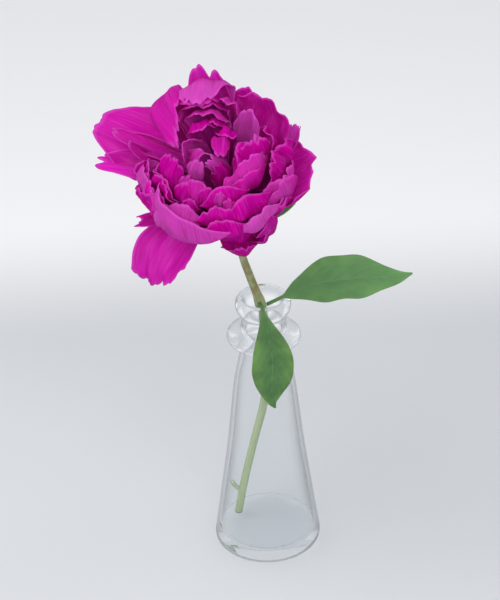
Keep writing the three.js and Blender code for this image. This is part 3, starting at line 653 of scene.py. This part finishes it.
def stem_skin(tree, surface, settings):
    """Green with fine lengthwise streaks, paler low down, flushed brown above the leaves' node."""
    objects = add_node(tree, "ShaderNodeTexCoord").outputs["Object"]
    height = components(tree, objects)[2]
    skin = attribute(tree, "skin", "Vector")
    streaks = grain(tree, stretched(tree, skin, (2.6, 2.6, 0.03)))
    light = scaled(settings.stem_colour, 1.35)
    colour = mix_colours(
        tree, fade(tree, streaks, start=0.35, end=0.65), settings.stem_colour, light)
    pale = fade(tree, height, start=0.15, end=0.1, most=0.35)
    colour = mix_colours(tree, pale, colour, PALE_STEM)
    above = fade(tree, height, start=0.172, end=0.186, most=0.75)
    below = fade(tree, height, start=0.225, end=0.195)
    patches = mottling(tree, objects, scale=240.0, low=0.25, high=0.6)
    flush = calculate(tree, "MULTIPLY", calculate(tree, "MULTIPLY", above, below), patches)
    feed(tree, surface, {
        "Base Color": mix_colours(tree, flush, colour, STEM_FLUSH), "Roughness": 0.45,
        "Normal": bump(tree, streaks, strength=0.3, distance=0.0002)})


def clear_glass(tree, surface, settings):
    """Clear glass with a painted grey reflection edge on; it lets lamps shine through, so its
    shadow is pale.
    """
    facing = add_node(tree, "ShaderNodeLayerWeight", {"Blend": 0.5}).outputs["Facing"]
    # Painted reflection: edge on, the glass is drawn towards a grey that stands in for a darker
    # room
    painted_edge_reflection = fade(tree, facing, start=0.4, end=0.95)
    feed(tree, surface, {
        "Base Color": mix_colours(tree, painted_edge_reflection, settings.tint, settings.edge),
        "Roughness": 0.015, "IOR": 1.3, "Transmission Weight": 1})
    path = add_node(tree, "ShaderNodeLightPath").outputs
    trapped = calculate(tree, "GREATER_THAN", path["Ray Depth"], TRAPPED_AFTER)
    passing = calculate(tree, "MAXIMUM", path["Is Shadow Ray"], trapped)
    clear = add_node(tree, "ShaderNodeBsdfTransparent", {"Color": PASSED_LIGHT})
    show_both(tree, passing, surface, clear)


def pale_floor(tree, surface, settings):
    """A pale matt floor, faintly mottled, and lighter well behind the vase."""
    objects = add_node(tree, "ShaderNodeTexCoord").outputs["Object"]
    behind = components(tree, objects)[1]
    far = mix_colours(tree, fade(tree, behind, start=0.22, end=0.42), settings.floor, FAR_FLOOR)
    patches = calculate(tree, "MULTIPLY", mottling(tree, objects, scale=3.0), 0.06)
    feed(tree, surface, {
        "Base Color": mix_colours(tree, patches, far, WHITE), "Roughness": 0.6})


def cached_material(make, settings):
    """The material named as its maker is, made the first time that a piece asks for it."""
    material = bpy.data.materials.get(make.__name__)
    if material is None:
        material = bpy.data.materials.new(make.__name__)
        material.use_nodes = True
        tree = material.node_tree
        make(tree, tree.nodes["Principled BSDF"], settings)
    return material


def add_object(name, data):
    made = bpy.data.objects.new(name, data)
    bpy.context.scene.collection.objects.link(made)
    return made


def aim_object(made, place, aim, roll=0):
    """Stands a lamp or a camera at its place, turned towards aim and rolled by some degrees."""
    made.location = place
    made.rotation_mode = "QUATERNION"
    look = (Vector(aim) - Vector(place)).to_track_quat("-Z", "Y")
    made.rotation_quaternion = look @ Quaternion((0, 0, 1), radians(roll))


def add_piece(name, bm, material, slot, *nodes):
    """A piece of the flower from a finished bmesh: smooth, riding, and shown for CAD nodes."""
    for face in bm.faces:
        face.smooth = True
    mesh = bpy.data.meshes.new(name)
    bm.to_mesh(mesh)
    bm.free()
    mesh.materials.append(material)
    piece = add_object(name, mesh)
    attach(piece, BODY)
    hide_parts(*nodes)
    return piece


def spline(points, share):
    """A point on the smooth line through points, where share runs from 0 to 1 along them."""
    place = min(share * (len(points) - 1), len(points) - 1 - 1e-6)
    i = int(place)
    t = place - i
    first, second = Vector(points[i]), Vector(points[i + 1])
    start = (second - Vector(points[i - 1])) / 2 if i > 0 else second - first
    last = i + 2 >= len(points)
    end = second - first if last else (Vector(points[i + 2]) - first) / 2
    return (first * (2 * t ** 3 - 3 * t ** 2 + 1) + start * (t ** 3 - 2 * t ** 2 + t)
            + second * (3 * t ** 2 - 2 * t ** 3) + end * (t ** 3 - t ** 2))


def even_route(points, count):
    """Points at even distances along the smooth line through points."""
    steps = ROUTE_STEPS * len(points)
    fine = [spline(points, i / steps) for i in range(steps + 1)]
    run = [0.0]
    for before, after in zip(fine, fine[1:]):
        run.append(run[-1] + (after - before).length)
    even = []
    k = 0
    for i in range(count + 1):
        goal = run[-1] * i / count
        while k < len(run) - 2 and run[k + 1] < goal:
            k += 1
        even.append(fine[k].lerp(fine[k + 1], (goal - run[k]) / (run[k + 1] - run[k])))
    return even


def spin_profile(bm, profile, turns, place):
    """A solid of revolution from a profile that starts and ends on its axis. place turns its
    millimetres to a point of the object."""
    known = set(bm.verts)
    chain = [bm.verts.new((radius, 0, height)) for radius, height in profile]
    edges = [bm.edges.new(pair) for pair in zip(chain, chain[1:])]
    bmesh.ops.spin(
        bm, geom=chain + edges, cent=(0, 0, 0), axis=(0, 0, 1), angle=2 * pi, steps=turns,
        use_merge=True)
    spun = [vert for vert in bm.verts if vert not in known]
    bmesh.ops.remove_doubles(bm, verts=spun, dist=MERGE_DISTANCE)
    spun = [vert for vert in spun if vert.is_valid]
    faces = list({face for vert in spun for face in vert.link_faces})
    bmesh.ops.recalc_face_normals(bm, faces=faces)
    for vert in spun:
        vert.co = place(vert.co)


def sweep(bm, route, sides, radius_at):
    """A round rod along a route in millimetres: a capped circle drawn out from point to point.
    Its skin layer keeps where each vertex lies round the rod and how many steps along it."""
    skin = bm.verts.layers.float_vector["skin"]
    made = bmesh.ops.create_circle(bm, cap_ends=True, segments=sides, radius=1)["verts"]
    cap = made[0].link_faces[0]
    circle = [vert.co.copy() for vert in cap.verts]
    behind = Vector((0, 0, 1))
    turn = Quaternion()
    for i, point in enumerate(route):
        ahead = route[min(i + 1, len(route) - 1)] - route[max(i - 1, 0)]
        turn = behind.rotation_difference(ahead) @ turn
        behind = ahead
        if i > 0:
            drawn = bmesh.ops.extrude_face_region(bm, geom=[cap])["geom"]
            if i > 1:
                bmesh.ops.delete(bm, geom=[cap], context="FACES_ONLY")
            cap = next(part for part in drawn if isinstance(part, bmesh.types.BMFace))
        for vert, spot in zip(cap.verts, circle):
            vert.co = (point + turn @ spot * radius_at(point)) * MM
            vert[skin] = (spot.x, spot.y, i)


def sheet(bm, cells, place):
    """A grid bent into a sheet: place(u, v) gives its points. Returns its faces."""
    across, along = cells
    made = bmesh.ops.create_grid(
        bm, x_segments=across, y_segments=along, size=1, calc_uvs=True)["verts"]
    for vert in made:
        vert.co = place(vert.co.x, (vert.co.y + 1) / 2)
    return list({face for vert in made for face in vert.link_faces})


def new_sheets():
    """A bmesh whose sheets keep a UV map, which face is the inner one, and each one's tone."""
    bm = bmesh.new()
    bm.loops.layers.uv.new("UVMap")
    bm.verts.layers.float.new("inner_face")
    bm.verts.layers.float.new("tone")
    bm.verts.layers.float_vector.new("away")
    return bm


def thicken(bm, faces, thickness, tone=0.0):
    """Closes a sheet: a copy of it is drawn back along its normals, and its rim is walled."""
    inner = bm.verts.layers.float["inner_face"]
    tones = bm.verts.layers.float["tone"]
    away = bm.verts.layers.float_vector["away"]
    bm.normal_update()
    for vert in {v for face in faces for v in face.verts}:
        vert[inner] = 1
        vert[tones] = tone
        vert[away] = vert.normal
    made = bmesh.ops.extrude_face_region(bm, geom=faces, use_keep_orig=True)["geom"]
    for vert in made:
        if isinstance(vert, bmesh.types.BMVert):
            vert[inner] = 0
            vert.co -= vert[away] * thickness


def close_sheets(bm):
    """The last step of a piece made of sheets: faces out, and the helper layer dropped."""
    bmesh.ops.recalc_face_normals(bm, faces=bm.faces)
    bm.verts.layers.float_vector.remove(bm.verts.layers.float_vector["away"])


def in_head(point):
    """A point of the bloom's own frame, in millimetres, as a point of the object, in metres."""
    return (SEAT + RIGHT * point[0] + BACK * point[1] + FACING * point[2]) * MM


def rim_reach(petal, u):
    """The share of its length that a petal reaches at u: its corners are round, one end may be
    drawn back, and small notches bite into it."""
    reach = 1 - petal.round * abs(u) ** CORNER_POWER
    reach -= abs(petal.slant) * (0.5 - 0.5 * copysign(1, petal.slant) * u)
    for depth, pitch, drift in NOTCHES:
        tooth = 1 - abs(cos(petal.teeth * pitch * pi * u + petal.seed * drift))
        reach -= petal.notch * depth * tooth ** NOTCH_POWER
    return reach


def half_width(petal, t):
    """Half a petal's width at t of its length: it opens from its claw and may taper again."""
    opening = sin(pi / 2 * min(1, t / WIDEST)) ** OPENING_POWER
    narrowing = 1 - petal.taper * max(0, (t - WIDEST) / (1 - WIDEST)) ** 2
    return petal.W * (petal.claw + (1 - petal.claw) * opening) * narrowing


def bearing(petal, u, t):
    """The angle at which a point lies round the middle of the petal's face."""
    return atan2(u * petal.W, (t - FACE_CENTRE) * petal.length())


def petal_waves(petal, u, v, t):
    """How far its ruffles, bends and pleats move a petal's point, sideways and inward."""
    rim = min(1, u ** 4 + v ** 5)
    phase = petal.waves * bearing(petal, u, t) + petal.seed
    sideways = petal.ruffle * SIDE_RUFFLE * rim * cos(SIDE_PITCH * phase)
    inward = petal.ruffle * rim * sin(phase)
    for height, across, along, drift in BENDS:
        inward += petal.wob * t * height * sin(across * u + along * t + drift * petal.seed)
    sway = PLEATS["sway"] * sin(PLEATS["pace"] * t + petal.seed)
    crease = sin(petal.folds * pi * u + PLEATS["drift"] * petal.seed + sway)
    inward += petal.pleat * t * (1 - PLEATS["fading"] * t) * crease
    inward += petal.fold * abs(u) * t
    return sideways, inward


def petal_relief(petal, u, v, t):
    """The finest shape of a petal: its frilled rim, its crumples and its lengthwise ribs."""
    phase = FRILL["waves"] * bearing(petal, u, t) + FRILL["drift"] * petal.seed
    frill = FRILL["height"] * v ** FRILL["power"] * sin(phase)
    across = u * petal.W
    along = t * petal.length()
    spot = (across * CRUMPLE["across"], along * CRUMPLE["along"], CRUMPLE["drift"] * petal.seed)
    rough = noise.noise(spot)
    ribs = sin(2 * pi * across / RIBS["pitch"] + RIBS["sway"] * rough)
    return frill + t * (CRUMPLE["height"] * rough + RIBS["height"] * ribs)


def petal_point(petal, u, v, fine=1.0):
    """A point of a petal's inner face: u runs across it and v from its base to its rim, and
    fine is the share of the finest relief that it gets."""
    t = v * rim_reach(petal, u)
    bow = radians(petal.cup) * min(1, CUP_AT_BASE + t / CUP_OPENS_BY)
    radius = half_width(petal, t) / bow
    side, inward = petal_waves(petal, u, v, t)
    side += radius * sin(bow * u)
    inward += radius * (1 - cos(bow * u)) + fine * petal_relief(petal, u, v, t)
    twist = radians(petal.twist) * t
    across = side * cos(twist) - inward * sin(twist) + petal.shift * t * t
    depth = side * sin(twist) + inward * cos(twist)
    r, h, along_r, along_h = petal.midline(t)
    r -= depth * along_h
    h += depth * along_r
    az = radians(petal.az)
    return in_head((r * cos(az) - across * sin(az), r * sin(az) + across * cos(az), h))


def heart_petal(n, az, r, h, tip, W):
    """No two petals of the heart are alike: each one's edge, folds and lean drift by a rule."""
    return Petal(
        az, r, h, tip, W,
        seed=(n * 1.9) % 6.28,
        twist=12 * sin(1.9 * n + 0.7),
        shift=2 * sin(5.3 * n + 0.4),
        slant=0.12 * sin(2.2 * n + 0.5),
        notch=0.04 + 0.03 * sin(2.7 * n + 1),
        teeth=2.6 + 0.8 * sin(3.3 * n),
        ruffle=0.9 + 0.4 * sin(4.1 * n + 2),
        waves=4 + sin(1.7 * n),
        pleat=1.1 + 0.6 * sin(1.3 * n),
        tone=(0.37 + 0.61803 * n) % 1,
    )


def add_petals(name, petals, cells, thickness, material):
    """One piece that holds a group of petals, each a closed blade of its own."""
    bm = new_sheets()
    for petal in petals:
        faces = sheet(bm, (cells, cells), lambda u, v: petal_point(petal, u, v))
        thicken(bm, faces, thickness, petal.tone)
    close_sheets(bm)
    return add_piece(name, bm, material, "petal", "bloom")


def leaf_point(leaf, route, u, v):
    """A point of a leaf's upper face: a narrow stalk that opens into a folded, veined blade."""
    place = v * (len(route) - 1)
    i = min(int(place), len(route) - 2)
    at = route[i].lerp(route[i + 1], place - i)
    ahead = (route[min(i + 2, len(route) - 1)] - route[max(i - 1, 0)]).normalized()
    side = Vector(leaf["face"]).cross(ahead).normalized()
    up = ahead.cross(side)
    s = max(0, (v - leaf["petiole"]) / (1 - leaf["petiole"]))
    blade = max(0, sin(pi * s ** leaf["belly"])) ** LEAF_TIP_POWER
    half = PETIOLE_RADIUS * (1 - STALK_TAPER * s) + leaf["half_width"] * blade
    lift = leaf["fold"] * abs(u) * half * blade
    lift += leaf["wave"] * blade * u * u * sin(leaf["waves"] * 2 * pi * s + WAVE_SKEW * u)
    step = v * SIDE_VEINS["count"] - abs(u) * SIDE_VEINS["slant"]
    near = abs((step + 0.5) % 1 - 0.5)
    groove = SIDE_VEINS["depth"] * exp(-SIDE_VEINS["sharpness"] * near * near) * (1 - abs(u) ** 3)
    groove += MIDRIB["depth"] * exp(-MIDRIB["sharpness"] * u * u)
    spot = (LEAF_BUMPS["across"] * u, LEAF_BUMPS["along"] * v, leaf["half_width"])
    lift += blade * (LEAF_BUMPS["height"] * noise.noise(spot) - groove)
    return (at + side * (u * half) + up * lift) * MM


class PEONY_OT_add_vase(Operator):
    """Add the clear glass bud vase"""

    bl_idname = "peony.add_vase"
    bl_label = "Add vase"

    def execute(self, context):
        settings = context.scene.peony_vase
        steps = VASE_SMOOTHING * (len(VASE_WALL) - 1)
        wall = [tuple(spline(VASE_WALL, i / steps)) for i in range(steps + 1)]
        profile = VASE_FOOT + wall + VASE_FLOOR
        bm = bmesh.new()
        spin_profile(bm, profile, settings.turns, lambda point: point * MM)
        glass = cached_material(clear_glass, settings)
        add_piece("glass_vase", bm, glass, "glass", "vase")
        return {"FINISHED"}


class PEONY_OT_add_stem(Operator):
    """Add the stem, with its node and the stub of a trimmed side shoot"""

    bl_idname = "peony.add_stem"
    bl_label = "Add stem"

    def execute(self, context):
        settings = context.scene.peony_green

        def thickness(point):
            away = (point.z - STEM_NODE["height"]) / STEM_NODE["spread"]
            start, end = STEM_TAPER["start"], STEM_TAPER["end"]
            t = min(1, max(0, (point.z - start) / (end - start)))
            narrowing = 1 - (1 - STEM_TAPER["share"]) * t * t * (3 - 2 * t)
            plain = settings.stem_radius / MM * narrowing
            return plain + STEM_NODE["swell"] * exp(-away * away)

        bm = bmesh.new()
        bm.verts.layers.float_vector.new("skin")
        stem = even_route(STEM_ROUTE, STEM_MESH["steps"])
        sweep(bm, stem, STEM_MESH["sides"], thickness)
        stub = even_route(STUB_ROUTE, STUB_MESH["steps"])
        sweep(bm, stub, STUB_MESH["sides"], lambda point: STUB_RADIUS)
        bmesh.ops.recalc_face_normals(bm, faces=bm.faces)
        skin = cached_material(stem_skin, settings)
        add_piece("green_stem", bm, skin, "stem", "stem")
        return {"FINISHED"}


class PEONY_OT_add_leaves(Operator):
    """Add the three leaves, with their midribs and side veins"""

    bl_idname = "peony.add_leaves"
    bl_label = "Add leaves"

    def execute(self, context):
        settings = context.scene.peony_green
        tissue = cached_material(leaf_tissue, settings)
        for node, leaf in LEAVES.items():
            route = even_route(leaf["route"], LEAF_STEPS)
            bm = new_sheets()
            faces = sheet(bm, LEAF_CELLS, lambda u, v: leaf_point(leaf, route, u, v))
            thicken(bm, faces, settings.leaf_thickness, leaf["tone"])
            close_sheets(bm)
            add_piece(f"{node}_blade", bm, tissue, "leaf", node)
        return {"FINISHED"}


class PEONY_OT_add_calyx(Operator):
    """Add the green cup under the bloom, with its sepals"""

    bl_idname = "peony.add_calyx"
    bl_label = "Add calyx"

    def execute(self, context):
        settings = context.scene.peony_green
        bm = new_sheets()
        for i in range(SEPAL_COUNT):
            sepal = replace(SEPAL, az=SEPAL_START + 360 / SEPAL_COUNT * i, seed=i)
            faces = sheet(
                bm, SEPAL_CELLS, lambda u, v: petal_point(sepal, u, v, fine=SEPAL_RELIEF))
            thicken(bm, faces, settings.leaf_thickness)
        close_sheets(bm)
        spin_profile(bm, CALYX_PROFILE, CALYX_TURNS, in_head)
        tissue = cached_material(leaf_tissue, settings)
        add_piece("green_calyx", bm, tissue, "calyx", "calyx")
        return {"FINISHED"}


class PEONY_OT_add_bloom(Operator):
    """Add the bloom: the outer petals and the petals of the heart"""

    bl_idname = "peony.add_bloom"
    bl_label = "Add bloom"

    def execute(self, context):
        settings = context.scene.peony_bloom
        tissue = cached_material(petal_tissue, settings)
        heart = [*HEART_SHAPES, *(heart_petal(n, *row) for n, row in enumerate(HEART_PETALS))]
        add_petals("guard_petals", GUARD_PETALS, settings.guard_cells, settings.thickness, tissue)
        add_petals("heart_petals", heart, settings.heart_cells, settings.thickness, tissue)
        return {"FINISHED"}


class PEONY_OT_add_stage(Operator):
    """Add the pale floor, the soft lights and the camera"""

    bl_idname = "peony.add_stage"
    bl_label = "Add stage"

    def execute(self, context):
        settings = context.scene.peony_stage
        bm = bmesh.new()
        bmesh.ops.create_circle(
            bm, cap_ends=True, segments=FLOOR["sides"], radius=FLOOR["radius"])
        mesh = bpy.data.meshes.new("floor")
        bm.to_mesh(mesh)
        bm.free()
        mesh.materials.append(cached_material(pale_floor, settings))
        add_object("floor", mesh)

        world = bpy.data.worlds.new("soft_sky")
        world.use_nodes = True
        sky = {"Color": SKY_COLOUR, "Strength": settings.sky}
        feed(world.node_tree, world.node_tree.nodes["Background"], sky)
        context.scene.world = world

        powers = {"key": settings.key_power, "fill": settings.fill_power}
        for name, lamp in LAMPS.items():
            light = bpy.data.lights.new(name, "AREA")
            light.energy = powers[name]
            light.size = lamp["size"]
            aim_object(add_object(name, light), lamp["place"], LAMP_AIM)

        lens = bpy.data.cameras.new("camera")
        lens.lens = CAMERA_LENS
        camera = add_object("camera", lens)
        aim_object(camera, CAMERA_PLACE, CAMERA_AIM, CAMERA_ROLL)
        context.scene.camera = camera
        context.scene.view_settings.view_transform = "Standard"
        return {"FINISHED"}


OPERATORS = (
    PEONY_OT_add_stage,
    PEONY_OT_add_vase,
    PEONY_OT_add_stem,
    PEONY_OT_add_leaves,
    PEONY_OT_add_calyx,
    PEONY_OT_add_bloom,
)


class PEONY_PT_panel(Panel):
    """Lists the pieces of the peony and their settings"""

    bl_idname = "PEONY_PT_panel"
    bl_label = "Peony in a bud vase"
    bl_space_type = "VIEW_3D"
    bl_region_type = "UI"
    bl_category = "Peony"

    def draw(self, context):
        for group, kind in SETTINGS.items():
            box = self.layout.box()
            settings = getattr(context.scene, group)
            for name in kind.__annotations__:
                box.prop(settings, name)
        for operator in OPERATORS:
            self.layout.operator(operator.bl_idname)


SETTINGS = {
    "peony_stage": PeonyStageSettings,
    "peony_vase": PeonyVaseSettings,
    "peony_green": PeonyGreenSettings,
    "peony_bloom": PeonyBloomSettings,
}
CLASSES = (*SETTINGS.values(), *OPERATORS, PEONY_PT_panel)


def register():
    for cls in CLASSES:
        bpy.utils.register_class(cls)
    for name, cls in SETTINGS.items():
        setattr(bpy.types.Scene, name, PointerProperty(type=cls))


def unregister():
    for name in SETTINGS:
        delattr(bpy.types.Scene, name)
    for cls in reversed(CLASSES):
        bpy.utils.unregister_class(cls)


def main():
    register()
    bpy.ops.peony.add_stage()
    bpy.ops.peony.add_vase()
    bpy.ops.peony.add_stem()
    bpy.ops.peony.add_leaves()
    bpy.ops.peony.add_calyx()
    bpy.ops.peony.add_bloom()


if __name__ == "__main__":
    main()
